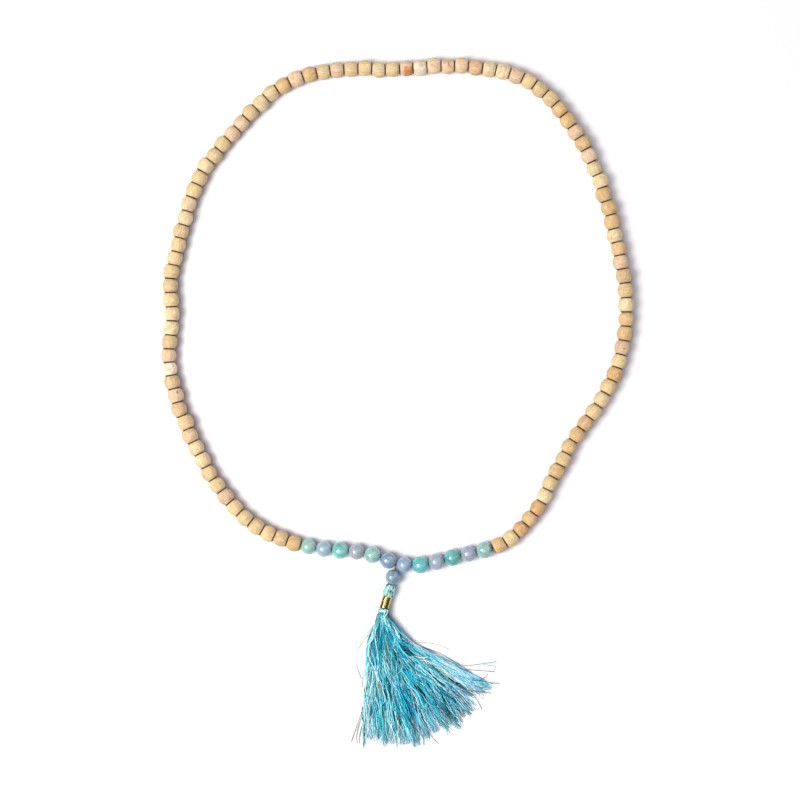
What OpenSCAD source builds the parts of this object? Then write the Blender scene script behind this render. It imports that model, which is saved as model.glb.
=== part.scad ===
// A 108-bead mala lying flat: one loop of wood and stone beads, a guru bead and a thread tassel.
// The surface is z = 0, +Y points from the tassel to the top of the loop, sizes are millimetres.

/* [Wood beads] */
// Number of wood beads on the loop
wood_count = 96; // [92:2:98]
// Diameter of an average wood bead
wood_d = 8; // [7.6:0.1:8.2]
// How much a wood bead's diameter may differ from the average
wood_d_vary = 0.25; // [0:0.05:0.3]
// How much a wood bead's length may differ from the average
wood_len_vary = 0.35; // [0:0.05:0.4]
// How far a wood bead may sit to the side of the thread's line
wood_jostle = 0.4; // [0:0.05:0.4]
// Hole through a wood bead
wood_bore_d = 2; // [1.9:0.1:2.4]
// Radius of the barrel's side, as a share of the bead's diameter
barrel = 0.6; // [0.57:0.01:0.7]
// How much that share may differ from the average
barrel_vary = 0.06; // [0:0.01:0.06]

/* [Stone beads] */
// Hole through a stone bead
stone_bore_d = 1.8; // [1.7:0.1:2]
// Diameter of the guru bead
guru_d = 7.8; // [7.4:0.1:7.9]
// Length of the guru bead along its hole
guru_len = 7.2; // [6.8:0.1:7.2]

/* [Thread] */
// Thickness of the stringing thread
thread_d = 0.6; // [0.4:0.05:0.6]
// Clear space between two wood beads where the thread runs straight
bead_gap = 0.35; // [0.3:0.05:0.6]

/* [Tassel] */
// Lean of the tassel's axis towards -X
tassel_lean = 16; // [12:1:18]
// Diameter of the knotted head
head_d = 6; // [5:0.1:6]
// Diameter of the bound neck
neck_d = 4; // [3.6:0.1:4.2]
// Length of the gold band round the neck
band_len = 6; // [4:0.5:6.5]
// Thickness of the gold band
band_wall = 0.4; // [0.3:0.05:0.5]
// Length of the skirt's threads
skirt_len = 67; // [50:1:72]
// Number of locks that the skirt falls into
lock_count = 17; // [12:1:20]
// Angle of the leftmost lock from straight down
fan_left = -9; // [-16:1:-6]
// Angle of the rightmost lock from straight down
fan_right = 53; // [40:1:58]

/* [Hidden] */
$fn = 32;
clear = 0.1;                // space between pieces that lie against each other
curve_steps = 16;           // straight steps in each span of the route
overlap = 1;                // how far a fused or cutting shape runs past the face it meets
thread_sides = 8;
lock_steps = 7;             // straight steps in each lock of the skirt
lock_sides = 8;
len_seed = 41;              // seeds of the beads' small differences
d_seed = 58;
side_seed = 23;
barrel_seed = 77;
rim_reach = 0.38;           // how far a bead's rim may lie from the thread, as a share of its diameter
rim_clear = 0.12;           // space between the rims of two beads at a bend

// Stone beads from left to right: diameter, length along the hole, length of route it takes, colour
stones = [
  [8.0, 7.0, 7.6, "#A3D0C0"],
  [8.1, 7.4, 8.1, "#9FB3C9"],
  [8.5, 7.8, 8.4, "#7CC3B4"],
  [8.1, 7.1, 7.8, "#A9B4C6"],
  [8.4, 7.7, 8.4, "#A9CDBB"],
  [8.3, 7.4, 8.5, "#92A6C4"],
  [8.1, 7.2, 8.2, "#A0ACCB"],
  [8.7, 7.5, 8.3, "#63BDB4"],
  [8.3, 7.4, 8.1, "#A9B9C9"],
  [8.4, 7.7, 8.4, "#5FB0AC"],
  [8.1, 7.4, 8.1, "#A6B4C8"],
  [8.4, 7.5, 8.2, "#9BCBBE"]
];
stone_count = len(stones);
stones_a_side = stone_count / 2;

// The thread's route in X and Y, clockwise from above, from the junction over the guru bead
route = [
  [-1.5, -80.5], [-10, -77], [-20, -74.5], [-35, -73.5], [-50, -71], [-64, -66],
  [-78, -57], [-90, -43], [-100, -25], [-110, -2], [-115, 22], [-113.5, 42],
  [-114, 62], [-109, 84], [-99, 114], [-79, 139], [-60, 157], [-34, 166],
  [-4, 166.5], [34, 168], [63, 161], [82, 144], [98, 116], [109, 79],
  [113.5, 46], [110, 21], [102, 3], [88, -17], [78, -36], [69, -53],
  [59, -65], [47, -72.5], [32, -76], [15, -80.5], [6.5, -81.6]
];

function unit(v) = v / norm(v);

// A smooth closed curve through the route
function wrap(i) = route[(i + len(route)) % len(route)];
function blend(a, b, c, d, t) =
  (2 * b + (c - a) * t + (2 * a - 5 * b + 4 * c - d) * t * t + (3 * b - a - 3 * c + d) * t * t * t) / 2;
curve = [
  for (i = [0 : len(route) - 1], k = [0 : curve_steps - 1])
    blend(wrap(i - 1), wrap(i), wrap(i + 1), wrap(i + 2), k / curve_steps),
  route[0]
];
run = [
  for (i = 0, s = 0; i < len(curve); s = s + norm(curve[min(i + 1, len(curve) - 1)] - curve[i]), i = i + 1) s
];
loop_len = run[len(run) - 1];
run_x = [for (i = [0 : len(run) - 1]) [run[i], curve[i].x]];
run_y = [for (i = [0 : len(run) - 1]) [run[i], curve[i].y]];
function at(s) = [lookup(s, run_x), lookup(s, run_y)];

// Lengths of route taken by each bead: the left stones, the wood beads, the right stones
function total(list) = len(list) == 0 ? 0 : [for (v = list) 1] * list;
left_run = [for (i = [stones_a_side - 1 : -1 : 0]) stones[i][2]];
right_run = [for (i = [stone_count - 1 : -1 : stones_a_side]) stones[i][2]];
wood_run = (loop_len - total(left_run) - total(right_run)) / wood_count;
len_draw = rands(-wood_len_vary, wood_len_vary, wood_count, len_seed);
d_draw = rands(-wood_d_vary, wood_d_vary, wood_count, d_seed);
side_draw = rands(-wood_jostle, wood_jostle, wood_count, side_seed);
barrel_draw = rands(-barrel_vary, barrel_vary, wood_count, barrel_seed);
len_mean = total(len_draw) / wood_count;
runs = concat(left_run, [for (v = len_draw) wood_run + v - len_mean], right_run);
bead_count = len(runs);
marks = [for (i = 0, s = 0; i <= bead_count; s = s + (i < bead_count ? runs[i] : 0), i = i + 1) s];
joints = [for (s = marks) at(s)];

// The thread's turn at each joint, and the space that the beads leave there so that their rims stay clear
function way(i) = unit(joints[min(i + 1, bead_count)] - joints[min(i, bead_count - 1)]);
function turn_at(i) = acos(min(1, way(max(i - 1, 0)) * way(i)));
function gap_at(i) = max(bead_gap, rim_clear + 2 * rim_reach * wood_d * sin(turn_at(i) / 2));

// Height of the skirt's upper and lower sides, by the distance from its top
skirt_upper = [[0, 4.9], [8, 5.4], [25, 4.4], [50, 3], [70, 1.8]];
skirt_lower = [[0, 1.1], [6, 0], [80, 0]];
// Width of a lock, by the same distance
lock_width = [[0, 4.8], [8, 5], [30, 5.2], [52, 5.8], [64, 4.8], [70, 3.2]];
lock_top_share = 0.45;      // width of a lock's upper side, as a share of its lower side
lock_drop = 0.5;            // how much lower every second lock lies
// How far a lock turns from its mean angle, by the place in the fan, and where along it the turn lies
lock_bend = [[0, 14], [0.5, 9], [1, 19]];
lock_turn = [[0, -1], [0.2, -0.7], [0.35, 0.5], [1, 0.4]];
// Length of a lock as a share of the skirt's, by the place in the fan, and the locks' uneven ends
lock_reach = [[0, 1], [0.6, 0.97], [0.9, 0.94], [1, 0.98]];
lock_uneven = [0, -1.2, 0.8, -0.4, 1, -1.6];

// Places of the head and the tassel along the tassel's axis, measured from the guru bead's centre
guru = [-3, -87.2];
bead_z = wood_d / 2;
neck_z = head_d / 2;
head_at = (guru_d + head_d) / 2 + clear;
band_at = head_at + head_d / 2 + clear;
skirt_at = band_at + band_len + clear + lock_width[0][1] / 2;
tassel_dir = [-sin(tassel_lean), -cos(tassel_lean)];
skirt_top = guru + skirt_at * tassel_dir;

function stone_name(i) = str("stone_bead_", i < 10 ? "0" : "", i);

// A drilled bead along X, with flat ends and an arched side
module bead(d, length, bore_d, side_r) {
  rotate([0, 90, 0])
    rotate_extrude()
      intersection() {
        translate([d / 2 - side_r, 0]) circle(r = side_r);
        translate([bore_d / 2, -length / 2]) square([d, length]);
      }
}

// Moves its children to bead i's place between two joints of the route, resting on z = 0
module on_route(i, d, ahead, side) {
  a = joints[i];
  b = joints[i + 1];
  turn = atan2(b.y - a.y, b.x - a.x);
  translate([(a.x + b.x) / 2, (a.y + b.y) / 2, d / 2])
    rotate([0, 0, turn])
      translate([ahead, side, 0])
        children();
}

module wood_beads(first, last) {
  for (k = [first : last]) {
    i = k + stones_a_side;
    d = wood_d + d_draw[k];
    length = norm(joints[i + 1] - joints[i]) - (gap_at(i) + gap_at(i + 1)) / 2;
    on_route(i, d, (gap_at(i) - gap_at(i + 1)) / 4, side_draw[k])
      bead(d, length, wood_bore_d, d * (barrel + barrel_draw[k]));
  }
}

module wood_beads_left() {
  color("#E0C49C") wood_beads(0, wood_count / 2 - 1);
}

module wood_beads_right() {
  color("#D9B487") wood_beads(wood_count / 2, wood_count - 1);
}

// Stone i counts from the left, but the route meets the left half backwards and the right half last
module stone_bead(i) {
  row = stones[i - 1];
  place = i <= stones_a_side ? stones_a_side - i : bead_count - 1 - (i - stones_a_side - 1);
  color(row[3]) on_route(place, row[0], 0, 0) bead(row[0], row[1], stone_bore_d, row[0] / 2);
}

// Moves its children along the tassel's axis, whose own -Y runs to the skirt
module on_tassel(distance, z) {
  translate([guru.x, guru.y, z])
    rotate([0, 0, -tassel_lean])
      translate([0, -distance, 0])
        children();
}

module guru_bead() {
  color("#8FA8BC")
    on_tassel(0, guru_d / 2)
      rotate([0, 0, 90]) bead(guru_d, guru_len, stone_bore_d, guru_d / 2);
}

// Both ends of the thread leave the loop at the junction and pass the guru bead side by side
strand_step = thread_d / 2 + clear / 2;
function strand_end(side) = [
  for (distance = [head_at - head_d / 2 - clear, -guru_len / 2 - clear])
    [guru.x + distance * tassel_dir.x, guru.y + distance * tassel_dir.y, bead_z + side * strand_step],
  [joints[0].x, joints[0].y, bead_z + side * strand_step]
];
function reversed(list) = [for (i = [len(list) - 1 : -1 : 0]) list[i]];
thread_path = concat(
  strand_end(1),
  [for (i = [1 : bead_count - 1]) [joints[i].x, joints[i].y, bead_z]],
  reversed(strand_end(-1))
);

function heading(path, i) = unit(path[min(i + 1, len(path) - 1)] - path[max(i - 1, 0)]);

// A closed tube round a path that stays nearly level
module swept(path, d, sides) {
  rings = len(path);
  points = [
    for (i = [0 : rings - 1], k = [0 : sides - 1])
      let(ahead = heading(path, i), across = unit([-ahead.y, ahead.x, 0]), up = cross(ahead, across))
        path[i] + d / 2 * (cos(360 * k / sides) * across + sin(360 * k / sides) * up)
  ];
  sides_faces = [
    for (i = [0 : rings - 2], k = [0 : sides - 1])
      [i * sides + k, i * sides + (k + 1) % sides, (i + 1) * sides + (k + 1) % sides, (i + 1) * sides + k]
  ];
  caps = [[for (k = [sides - 1 : -1 : 0]) k], [for (k = [0 : sides - 1]) (rings - 1) * sides + k]];
  polyhedron(points, concat(sides_faces, caps), convexity = 10);
}

module thread() {
  color("#8A5A3C") swept(thread_path, thread_d, thread_sides);
}

// The middle line of lock i, in steps of equal length: X, Y and the distance from the skirt's top
function lock_line(i) =
  let(
    u = i / (lock_count - 1),
    mean = fan_left + (fan_right - fan_left) * u,
    bend = lookup(u, lock_bend),
    turns = [for (k = [0 : lock_steps]) mean + bend * lookup((k + 0.5) / lock_steps, lock_turn)],
    length = skirt_len * lookup(u, lock_reach) + lock_uneven[i % len(lock_uneven)],
    step = length / lock_steps
  )
  [
    for (k = 0, p = skirt_top; k <= lock_steps; p = p + step * [sin(turns[k]), -cos(turns[k])], k = k + 1)
      [p.x, p.y, k * step]
  ];

// One cross-section of a lock, broad below and narrow above
module lock_pad(p, drop) {
  low = lookup(p.z, skirt_lower);
  high = lookup(p.z, skirt_upper) - drop;
  width = lookup(p.z, lock_width);
  translate([p.x, p.y, low])
    cylinder(h = high - low, d1 = width, d2 = width * lock_top_share, $fn = lock_sides);
}

module lock(i) {
  line = lock_line(i);
  drop = i % 2 == 0 ? 0 : lock_drop;
  for (k = [0 : lock_steps - 1])
    hull() {
      lock_pad(line[k], drop);
      lock_pad(line[k + 1], drop);
    }
}

module tassel() {
  color("#4FB6CB")
    union() {
      on_tassel(head_at, neck_z) sphere(d = head_d);
      on_tassel(head_at, neck_z) rotate([90, 0, 0]) cylinder(h = skirt_at - head_at + overlap, d = neck_d);
      for (i = [0 : lock_count - 1]) lock(i);
    }
}

module tassel_band() {
  color("#D8A93A")
    on_tassel(band_at, neck_z)
      rotate([90, 0, 0])
        difference() {
          cylinder(h = band_len, d = neck_d + 2 * clear + 2 * band_wall);
          translate([0, 0, -overlap]) cylinder(h = band_len + 2 * overlap, d = neck_d + 2 * clear);
        }
}

wood_beads_left();
wood_beads_right();
for (i = [1 : stone_count]) stone_bead(i);
guru_bead();
thread();
tassel();
tassel_band();
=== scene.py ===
# A 108-bead mala laid flat: wood barrels, polished stones, a guru bead and a thread tassel.
# Settings are in millimetres and degrees, meshes in metres. +Y runs from the tassel to the top of the loop.
import math
import random

import bmesh
import bpy
import numpy as np
from mathutils import Matrix, Vector, noise


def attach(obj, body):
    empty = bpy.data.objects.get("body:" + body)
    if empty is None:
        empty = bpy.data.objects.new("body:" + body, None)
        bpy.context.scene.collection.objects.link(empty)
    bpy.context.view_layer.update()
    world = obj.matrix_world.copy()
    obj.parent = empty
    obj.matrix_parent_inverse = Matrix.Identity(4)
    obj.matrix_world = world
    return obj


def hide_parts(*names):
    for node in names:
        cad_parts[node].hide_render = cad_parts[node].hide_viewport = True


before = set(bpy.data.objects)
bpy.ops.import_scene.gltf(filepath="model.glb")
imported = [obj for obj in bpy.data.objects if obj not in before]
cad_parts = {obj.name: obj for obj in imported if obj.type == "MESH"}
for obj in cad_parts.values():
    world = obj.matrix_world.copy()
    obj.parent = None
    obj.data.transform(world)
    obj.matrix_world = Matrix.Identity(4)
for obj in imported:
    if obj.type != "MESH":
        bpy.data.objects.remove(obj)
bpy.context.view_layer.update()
mm = 0.001
scene = bpy.context.scene


def rgb(code):
    # a colour as picked on screen, turned into the linear values that shaders use
    parts = [int(code[i:i + 2], 16) / 255 for i in (0, 2, 4)]
    return [p / 12.92 if p <= 0.04045 else ((p + 0.055) / 1.055) ** 2.4 for p in parts] + [1.0]


def tinted(colours, code, shares):
    # rows of colour drawn towards another colour, each by its own share
    return colours + (np.array(rgb(code)[:3]) - colours) * shares[:, None]


def smooth(t):
    t = np.clip(t, 0, 1)
    return t * t * (3 - 2 * t)


def table(rows, t):
    # reads a short table of (position, value) rows at t
    return np.interp(t, [row[0] for row in rows], [row[1] for row in rows])


def link(obj):
    scene.collection.objects.link(obj)
    return obj


class Socket:
    # one value in a material: arithmetic on it adds Math nodes
    def __init__(self, look, output):
        self.look, self.output = look, output

    def math(self, operation, *values):
        return self.look.node("Math", {"operation": operation}, dict(enumerate(values)))

    def __add__(self, other):
        return self.math("ADD", self, other)

    def __radd__(self, other):
        return self.math("ADD", other, self)

    def __sub__(self, other):
        return self.math("SUBTRACT", self, other)

    def __rsub__(self, other):
        return self.math("SUBTRACT", other, self)

    def __mul__(self, other):
        return self.math("MULTIPLY", self, other)

    def __rmul__(self, other):
        return self.math("MULTIPLY", other, self)

    def sine(self):
        return self.math("SINE", self)

    def cosine(self):
        return self.math("COSINE", self)

    def size(self):
        return self.math("ABSOLUTE", self)

    def rise(self, low, high):
        # 0 below low, 1 above high, smooth between them
        limits = {0: self, 1: low, 2: high, 3: 0, 4: 1}
        return self.look.node("MapRange", {"interpolation_type": "SMOOTHSTEP"}, limits)


class Look:
    # the nodes of a material or of the world
    def __init__(self, name, kind="materials"):
        self.owner = getattr(bpy.data, kind).new(name)
        self.owner.use_nodes = True
        self.tree = self.owner.node_tree
        self.tree.nodes.clear()

    def node(self, kind, settings, inputs, output=0):
        made = self.tree.nodes.new("ShaderNode" + kind)
        for key, value in settings.items():
            setattr(made, key, value)
        for key, value in inputs.items():
            if isinstance(value, Socket):
                self.tree.links.new(value.output, made.inputs[key])
            else:
                made.inputs[key].default_value = value
        return Socket(self, made.outputs[output]) if made.outputs else None

    def read(self, attribute, output="Vector"):
        return self.node("Attribute", {"attribute_name": attribute}, {}, output)

    def objectPlace(self):
        return self.node("TexCoord", {}, {}, "Object")

    def part(self, vector, axis):
        return self.node("SeparateXYZ", {}, {0: vector}, axis)

    def vector(self, x, y, z):
        return self.node("CombineXYZ", {}, {0: x, 1: y, 2: z})

    def stretched(self, vector, scale):
        return self.node("VectorMath", {"operation": "MULTIPLY"}, {0: vector, 1: scale})

    def noise(self, vector, scale, detail=2.0, roughness=0.5, distortion=0.0):
        return self.node("TexNoise", {}, {"Vector": vector, "Scale": scale, "Detail": detail,
                                          "Roughness": roughness, "Distortion": distortion})

    def mix(self, factor, a, b):
        return self.node("Mix", {"data_type": "RGBA"}, {0: factor, 6: a, 7: b}, 2)

    def shade(self, colour, amount):
        # a colour made lighter or darker by a value
        return self.node("VectorMath", {"operation": "SCALE"}, {0: colour, "Scale": amount})

    def bump(self, height, distance, strength):
        return self.node("Bump", {}, {"Height": height, "Distance": distance * mm, "Strength": strength})

    def finish(self, colour, roughness, normal=None, **constants):
        inputs = {"Base Color": colour, "Roughness": roughness}
        if normal:
            inputs["Normal"] = normal
        inputs.update({key.replace("_", " "): value for key, value in constants.items()})
        self.node("OutputMaterial", {}, {"Surface": self.node("BsdfPrincipled", {}, inputs)})
        return self


def addPiece(name, mesh, look, nodes, sharpAngle=None):
    # a finished piece: it rides on the one body and stands for its CAD nodes
    mesh.name = name
    mesh.materials.clear()
    mesh.materials.append(look.owner)
    mesh.polygons.foreach_set("use_smooth", [True] * len(mesh.polygons))
    if sharpAngle:
        mesh.set_sharp_from_angle(angle=math.radians(sharpAngle))
    piece = link(bpy.data.objects.new(name, mesh))
    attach(piece, "root")
    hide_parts(*nodes)


# Camera, light and floor: the view is as wide as the photograph, from straight above
view = {"lens": 85, "sensor": 36, "width": 401.2, "centre": (0.5, 1.25), "near": 0.01, "far": 20}
cameraData = bpy.data.cameras.new("camera")
cameraData.lens = view["lens"]
cameraData.sensor_width = view["sensor"]
cameraData.clip_start = view["near"]
cameraData.clip_end = view["far"]
camera = link(bpy.data.objects.new("camera", cameraData))
camera.location = Vector((*view["centre"], view["width"] * view["lens"] / view["sensor"])) * mm
scene.camera = camera
scene.view_settings.view_transform = "Standard"

lights = {
    # direction towards the light, how wide it looks in degrees, strength, colour, distance in m (0: far away)
    "softbox": ((-0.6, -0.13, 0.79), 31, 2.75, "FFFBF6", 1.2),
    "overhead": ((-0.35, -0.1, 0.93), 60, 1.9, "FFFDFA", 0),
    "reflector": ((0.7, 0.5, 0.5), 70, 1.15, "FFFDF8", 0),
}
for name, (towards, width, strength, colour, distance) in lights.items():
    lamp = bpy.data.lights.new(name, "AREA" if distance else "SUN")
    lamp.color = rgb(colour)[:3]
    if distance:
        radius = distance * math.tan(math.radians(width / 2))
        lamp.shape = "DISK"
        lamp.size = 2 * radius
        lamp.energy = strength * math.pi * (radius ** 2 + distance ** 2)
    else:
        lamp.angle = math.radians(width)
        lamp.energy = strength
    lampObject = link(bpy.data.objects.new(name, lamp))
    lampObject.location = Vector(towards).normalized() * max(distance, 1)
    lampObject.rotation_euler = (-lampObject.location).to_track_quat("-Z", "Y").to_euler()
    lampObject.visible_camera = False

# what the camera sees of the room is white, and what lights the mala is a weak cool fill
room = {"fill": "B4B6F0", "fillStrength": 0.15, "seen": "FEFEFE"}
studio = Look("studio", "worlds")
scene.world = studio.owner
fill = studio.node("Background", {}, {0: rgb(room["fill"]), 1: room["fillStrength"]})
seen = studio.node("Background", {}, {0: rgb(room["seen"])})
cameraRay = studio.node("LightPath", {}, {}, "Is Camera Ray")
studio.node("OutputWorld", {}, {0: studio.node("MixShader", {}, {0: cameraRay, 1: fill, 2: seen})})

ground = {"radius": 3000, "below": 0.02, "colours": ("F3F3F5", "F7F7F9"), "fade": (350, 800)}
bm = bmesh.new()
bmesh.ops.create_circle(bm, cap_ends=True, segments=96, radius=ground["radius"] * mm,
                        matrix=Matrix.Translation((0, 0, -ground["below"] * mm)))
floorMesh = bpy.data.meshes.new("floor")
bm.to_mesh(floorMesh)
bm.free()
paper = Look("white_paper")
paperPlace = paper.objectPlace()
paperColour = paper.mix(paper.noise(paperPlace, 900, 2), *[rgb(code) for code in ground["colours"]])
# far from the mala the paper fades into the white room
fromMiddle = paper.node("VectorMath", {"operation": "LENGTH"}, {0: paperPlace}, 1)
fadeStart, fadeEnd = [distance * mm for distance in ground["fade"]]
paper.finish(paperColour, 0.85, Alpha=1 - fromMiddle.rise(fadeStart, fadeEnd), Specular_IOR_Level=0.1)
floorMesh.materials.append(paper.owner)
floor = link(bpy.data.objects.new("floor", floorMesh))
# the reflector brightens the mala's far side alone, so that its shadows on the paper stay dark
skips = bpy.data.collections.new("reflector_skips")
skips.objects.link(floor)
skips.collection_objects[0].light_linking.link_state = "EXCLUDE"
bpy.data.objects["reflector"].light_linking.receiver_collection = skips
print("camera, lights and floor are set")


def readBeads(node):
    # the drilled beads of a CAD node, in millimetres; their sides follow an arc
    bm = bmesh.new()
    bm.from_mesh(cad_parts[node].data)
    bmesh.ops.remove_doubles(bm, verts=bm.verts, dist=0.001 * mm)
    left = set(bm.verts)
    beads = []
    while left:
        shell, edge = set(), [left.pop()]
        while edge:
            vert = edge.pop()
            shell.add(vert)
            for e in vert.link_edges:
                other = e.other_vert(vert)
                if other in left:
                    left.remove(other)
                    edge.append(other)
        # the flat ends are the largest faces that share a direction
        ends = {}
        for face in {f for v in shell for f in v.link_faces}:
            n = face.normal if (face.normal.x, face.normal.y) > (0, 0) else -face.normal
            key = (round(n.x, 2), round(n.y, 2), round(n.z, 2))
            area, total = ends.get(key, (0, Vector()))
            ends[key] = (area + face.calc_area(), total + n * face.calc_area())
        axis = max(ends.values(), key=lambda end: end[0])[1]
        axis = Vector((axis.x, axis.y, 0)).normalized()
        side = Vector((-axis.y, axis.x, 0))
        along, across, up = [[v.co.dot(way) for v in shell] for way in (axis, side, Vector((0, 0, 1)))]
        centre = axis * (min(along) + max(along)) / 2 + side * (min(across) + max(across)) / 2
        centre.z = (min(up) + max(up)) / 2
        half, width = (max(along) - min(along)) / 2, max(up) - min(up)
        rimVerts = [v for v, a in zip(shell, along) if a > max(along) - 0.02 * mm]
        sag = width / 2 - max(math.hypot((v.co - centre).dot(side), v.co.z - centre.z) for v in rimVerts)
        beads.append({"centre": centre / mm, "axis": axis, "length": 2 * half / mm, "width": width / mm,
                      "sideRadius": (half * half + sag * sag) / (2 * sag) / mm})
    bm.free()
    return beads


holeRim = 0.6      # softening of the hole's rim, as a share of the outer rim's


def drilledBead(length, width, sideRadius, made):
    # a bead round X, spun from half of its section, with softened rims at the hole and at the flat ends
    bm = bmesh.new()
    half, bore = length / 2, made["bore"] / 2
    xs = np.linspace(-half, half, made["arcSteps"] + 1)
    section = [(x, width / 2 - sideRadius + math.sqrt(sideRadius ** 2 - x * x)) for x in xs]
    endRadius = section[0][1]
    section += [(half, bore), (-half, bore)]
    verts = [bm.verts.new((x, 0, r)) for x, r in section]
    edges = [bm.edges.new((verts[i], verts[i - 1])) for i in range(len(verts))]
    bmesh.ops.spin(bm, geom=verts + edges, cent=(0, 0, 0), axis=(1, 0, 0), angle=math.tau,
                   steps=made["sides"], use_merge=True)
    bmesh.ops.recalc_face_normals(bm, faces=bm.faces)
    for radius, offset in ((endRadius, made["rim"]), (bore, made["rim"] * holeRim)):
        ring = [e for e in bm.edges if all(abs(abs(v.co.x) - half) < 1e-4 and
                                           abs(math.hypot(v.co.y, v.co.z) - radius) < 1e-3 for v in e.verts)]
        bmesh.ops.bevel(bm, geom=ring, offset=offset, offset_type="OFFSET", segments=2, profile=0.5,
                        affect="EDGES", material=-1)
    return bm


def layBead(bead, bm):
    # lays a bead's mesh in its place, resting on the surface
    axis = bead["axis"]
    turn = Matrix(((axis.x, -axis.y, 0), (axis.y, axis.x, 0), (0, 0, 1))).to_4x4()
    bmesh.ops.transform(bm, matrix=Matrix.Translation(bead["centre"]) @ turn, verts=bm.verts)
    lowest = min(v.co.z for v in bm.verts)
    bmesh.ops.translate(bm, verts=bm.verts, vec=(0, 0, -lowest))
    bmesh.ops.scale(bm, vec=(mm, mm, mm), verts=bm.verts)


def addTo(whole, bm):
    # adds one bead's mesh to the mesh of its node
    part = bpy.data.meshes.new("part")
    bm.to_mesh(part)
    bm.free()
    whole.from_mesh(part)
    bpy.data.meshes.remove(part)


# Wood beads
wood = {
    "sides": 24, "arcSteps": 6, "bore": 2.0, "rim": 0.22, "radius": 4, "seed": 12,
    "apart": 0.03, "nearest": 11,       # half the gap between two beads, and how near their centres lie
    "wobble": 0.1, "wobbleSize": 3.5, "wobbleFrom": 1.2,
    "chip": 0.44, "chipSize": 1.6, "chipFrom": 1.4, "chipReach": 0.8, "chipRarity": 0.25,
    "grainRoom": 90, "crossGrain": 0.35, "lean": 14, "brightness": (0.92, 1.06),
    # the two edges of a darker part: offset, and slopes along and across the hole
    "twoToned": 49, "halves": ((0.3, 0.15, -1), (1.4, 1.2, 0)), "unmarked": 9,
}
woodTones = {
    "straw": "CAB486", "cream": "D2C098", "tan": "BFA87E", "honey": "C0A270", "rose": "CBB192",
    "peach": "C5A380", "amber": "B89260", "ivory": "D8CFB8",
}
# share of each tone on the left and the right half of the loop
woodShares = {"straw": (0.42, 0.3), "cream": (0.17, 0.12), "tan": (0.15, 0.2), "rose": (0.2, 0.16),
              "honey": (0.06, 0.22)}
# beads that stand out: by tone, their number clockwise from the left stones and how flecked they are
woodMarked = {
    "honey": {1: 0.3, 62: 0.2, 69: 0.3, 77: 0.3, 86: 0.2, 96: 0.4},
    "tan": {2: 0.5, 23: 0.6, 74: 0.3},
    "rose": {7: 1.0, 15: 0.5, 49: 0.2, 51: 0.3, 52: 0.5, 57: 1.0, 63: 1.0, 79: 0.4},
    "cream": {10: 0.2, 32: 0.1, 47: 0.2, 66: 0.2, 71: 0.3, 76: 0.1, 83: 0.6, 91: 0.1},
    "peach": {14: 0.4, 54: 0.6}, "ivory": {17: 0.1, 50: 0.0},
    "amber": {81: 0.4, 92: 0.3, 94: 0.2}, "straw": {59: 1.0},
}
# marks on beads: place along the hole, degrees round the bead from its top, and size along and across
streak = (0.4, 12, 0.35, 1.6)
woodMarks = {15: (1.2, -25, 0.9, 0.8), 52: streak, 71: (1.0, 35, 0.45, 0.3), 79: streak}

woodLook = Look("turned_wood")
fibre = woodLook.read("fibre")
tone = woodLook.read("tone", "Color")
fleckShare = woodLook.read("tone", "Alpha")
halves = woodLook.read("halves", "Fac")
fromEnd = woodLook.read("fromEnd", "Fac")
markPlace = woodLook.read("mark")
bands = woodLook.noise(woodLook.stretched(fibre, (0.12, 0.55, 0.55)), 1.0, 3, 0.6, 0.6)
lines = woodLook.noise(woodLook.stretched(fibre, (0.22, 1.9, 1.9)), 1.0, 3, 0.7)
pores = woodLook.noise(woodLook.stretched(fibre, (0.9, 3.6, 3.6)), 1.0, 1, 0.4)
blotch = woodLook.noise(fibre, 0.45, 2)
yellow = woodLook.noise(woodLook.stretched(fibre, (0.7, 0.5, 0.6)), 1.0, 2)
light = 0.7 + 0.24 * bands.rise(0.3, 0.7) + 0.46 * lines.rise(0.25, 0.75)
woodColour = woodLook.mix(halves.rise(-0.25, 0.25), tone, rgb("BA7A48"))
woodColour = woodLook.mix(0.6 * blotch.rise(0.46, 0.66), woodColour, rgb("C9A084"))
woodColour = woodLook.mix(0.45 * yellow.rise(0.5, 0.66), woodColour, rgb("CDBA80"))
woodColour = woodLook.shade(woodColour, light)
fleckMask = (0.12 + fleckShare) * pores.rise(0.6, 0.7)
woodColour = woodLook.mix(0.75 * fleckMask, woodColour, rgb("9A6238"))
markSize = woodLook.node("VectorMath", {"operation": "LENGTH"}, {0: markPlace}, "Value")
markMask = 1 - (markSize + 0.5 * (lines - 0.5)).rise(0.55, 1.1)
woodColour = woodLook.mix(0.7 * markMask, woodColour, rgb("7A4522"))
# painted shade and end grain: the flat ends and their rims are dark brown, partly darker end grain and partly
# painted shade in the crevices between beads
woodColour = woodLook.mix(0.96 * fromEnd.rise(-0.42, -0.14), woodColour, rgb("402004"))
woodNormal = woodLook.bump(lines * 0.6 - 0.8 * pores.rise(0.62, 0.75), 0.05, 0.6)
woodLook.finish(woodColour, 0.45 + 0.2 * lines, woodNormal, Specular_IOR_Level=0.28)

loopCentre = Vector((0, 43, 0))       # a place inside the loop
woodNodes = {"wood_beads_left": "wood_pale", "wood_beads_right": "wood_honey"}
loopBeads = [dict(bead, node=node) for node in woodNodes for bead in readBeads(node)]


def faceClockwise(bead):
    # the hole's direction is the one that runs clockwise round the loop
    out = bead["centre"] - loopCentre
    if bead["axis"].dot(Vector((out.y, -out.x, 0))) < 0:
        bead["axis"] = -bead["axis"]


for bead in loopBeads:
    faceClockwise(bead)
# clockwise from the bottom of the loop
loopBeads.sort(key=lambda bead: math.atan2(bead["centre"].x - loopCentre.x, bead["centre"].y - loopCentre.y))


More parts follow.
